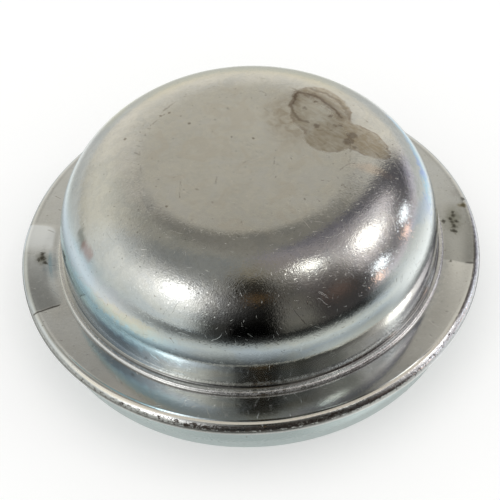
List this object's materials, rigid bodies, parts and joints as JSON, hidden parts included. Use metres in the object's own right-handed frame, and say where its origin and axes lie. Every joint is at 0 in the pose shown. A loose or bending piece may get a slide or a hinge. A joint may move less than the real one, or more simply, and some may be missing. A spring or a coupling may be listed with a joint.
{
  "type": "hub grease cap",
  "caption": "Round-shouldered pressed steel dust cap with a folded flange and a plain skirt that presses into a wheel hub's bore.",
  "frame": {"origin": "centre of the skirt's open rim, in the plane that the cap stands on", "axes": "+Z along the cap's axis, from the open rim towards the crown; X and Y are free, because the cap is round"},
  "size_m": [0.083, 0.083, 0.0322],
  "materials": {
    "zinc_plated_steel": "bright zinc plating, pressed grain, a brown stain on the crown and a worn flange edge"
  },
  "bodies": {
    "root": {"grease_cap": "zinc_plated_steel"}
  },
  "joints": []
}
